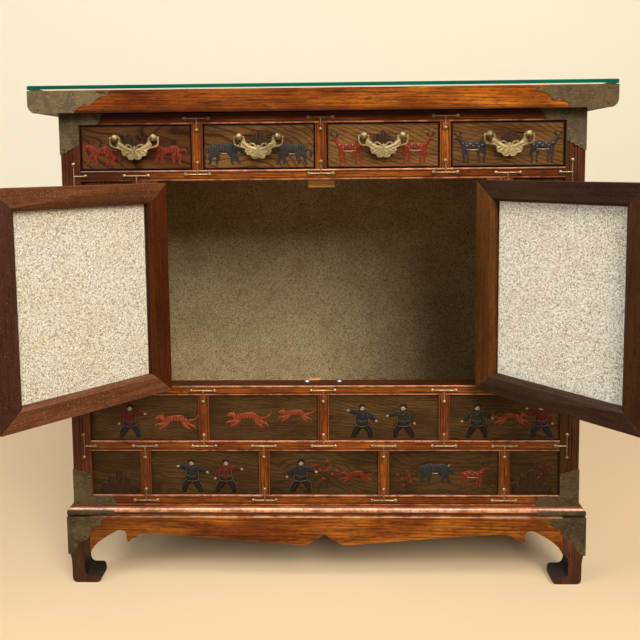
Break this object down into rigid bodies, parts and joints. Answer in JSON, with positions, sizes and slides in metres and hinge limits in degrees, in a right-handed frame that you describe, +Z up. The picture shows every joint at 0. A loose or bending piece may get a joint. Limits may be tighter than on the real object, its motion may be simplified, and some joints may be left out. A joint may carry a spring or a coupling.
{
  "type": "scholars cabinet",
  "caption": "Low post-and-rail cabinet with drawers over hinged doors, fixed panel rows, hooked feet, scalloped apron, sheet brass mounts, bat-shaped pulls and a glass top.",
  "frame": {"origin": "on the floor under the middle of the case, measured between its posts", "axes": "+Z up; the doors and drawers face -Y; +X to the right seen from the front"},
  "size_m": [0.994, 0.6711, 0.884],
  "materials": {
    "glass": "clear, green edge",
    "clear_rubber": "clear soft pad",
    "top_wood": "varnished orange-brown elm",
    "frame_wood": "varnished red-brown, beaded edges",
    "post_wood": "dark red-brown, reeded",
    "panel_wood": "dark olive-brown, painted figures",
    "drawer_wood": "figured elm, painted animals",
    "door_wood": "dull dark brown",
    "pale_wood": "bare pale wood",
    "old_brass": "aged olive-bronze sheet brass",
    "strap_brass": "worn light brass",
    "pull_brass": "pale stippled brass",
    "chrome": "bright",
    "paper": "cream paper with a fine grey-brown scribble"
  },
  "bodies": {
    "body": {"glass_top": "glass", "glass_pads": "clear_rubber", "top_board": "top_wood", "top_board_plates": "old_brass", "front_posts": "post_wood", "rear_posts": "post_wood", "top_rail": "frame_wood", "drawer_rail": "frame_wood", "sill_rail": "frame_wood", "middle_rail": "frame_wood", "bottom_rail": "frame_wood", "drawer_muntins": "frame_wood", "door_stiles": "frame_wood", "panel_muntins": "frame_wood", "upper_panels": "panel_wood", "lower_panels": "panel_wood", "flank_panels": "panel_wood", "side_rails": "post_wood", "side_panels": "post_wood", "back_rails": "post_wood", "back_panels": "post_wood", "bottom_board": "pale_wood", "drawer_deck": "pale_wood", "paper_lining": "paper", "base_moulding": "frame_wood", "base_aprons": "frame_wood", "feet": "frame_wood", "body_corner_plates": "old_brass", "foot_plates": "old_brass", "rail_straps": "strap_brass", "jamb_hinges": "strap_brass", "door_stop_blocks": "pale_wood", "ball_catches": "chrome"},
    "door_left": {"door_left_frame": "door_wood", "door_left_panel": "panel_wood", "door_left_lining": "paper", "door_left_hinges": "strap_brass", "door_left_knob": "pull_brass"},
    "door_right": {"door_right_frame": "door_wood", "door_right_panel": "panel_wood", "door_right_lining": "paper", "door_right_hinges": "strap_brass", "door_right_knob": "pull_brass"},
    "drawer_1": {"drawer_1_front": "drawer_wood", "drawer_1_box": "pale_wood", "drawer_1_pull_posts": "pull_brass"},
    "pull_1": {"drawer_1_pull": "pull_brass"},
    "drawer_2": {"drawer_2_front": "drawer_wood", "drawer_2_box": "pale_wood", "drawer_2_pull_posts": "pull_brass"},
    "pull_2": {"drawer_2_pull": "pull_brass"},
    "drawer_3": {"drawer_3_front": "drawer_wood", "drawer_3_box": "pale_wood", "drawer_3_pull_posts": "pull_brass"},
    "pull_3": {"drawer_3_pull": "pull_brass"},
    "drawer_4": {"drawer_4_front": "drawer_wood", "drawer_4_box": "pale_wood", "drawer_4_pull_posts": "pull_brass"},
    "pull_4": {"drawer_4_pull": "pull_brass"}
  },
  "joints": [
    {"name": "door_left_hinge", "type": "hinge", "parent": "body", "child": "door_left", "pos_m": [-0.28263, -0.2135, 0.54], "axis": [0, 0, 1], "range_deg": [-30, 135]},
    {"name": "door_right_hinge", "type": "hinge", "parent": "body", "child": "door_right", "pos_m": [0.28263, -0.2135, 0.54], "axis": [0, 0, -1], "range_deg": [-30, 133]},
    {"name": "drawer_1_slide", "type": "slide", "parent": "body", "child": "drawer_1", "axis": [0, -1, 0], "range_m": [0, 0.24]},
    {"name": "drawer_2_slide", "type": "slide", "parent": "body", "child": "drawer_2", "axis": [0, -1, 0], "range_m": [0, 0.24]},
    {"name": "drawer_3_slide", "type": "slide", "parent": "body", "child": "drawer_3", "axis": [0, -1, 0], "range_m": [0, 0.24]},
    {"name": "drawer_4_slide", "type": "slide", "parent": "body", "child": "drawer_4", "axis": [0, -1, 0], "range_m": [0, 0.24]},
    {"name": "pull_1_swing", "type": "hinge", "parent": "drawer_1", "child": "pull_1", "pos_m": [-0.31912, -0.217, 0.7955], "axis": [-1, 0, 0], "range_deg": [0, 110]},
    {"name": "pull_2_swing", "type": "hinge", "parent": "drawer_2", "child": "pull_2", "pos_m": [-0.10637, -0.217, 0.7955], "axis": [-1, 0, 0], "range_deg": [0, 110]},
    {"name": "pull_3_swing", "type": "hinge", "parent": "drawer_3", "child": "pull_3", "pos_m": [0.10637, -0.217, 0.7955], "axis": [-1, 0, 0], "range_deg": [0, 110]},
    {"name": "pull_4_swing", "type": "hinge", "parent": "drawer_4", "child": "pull_4", "pos_m": [0.31912, -0.217, 0.7955], "axis": [-1, 0, 0], "range_deg": [0, 110]}
  ]
}
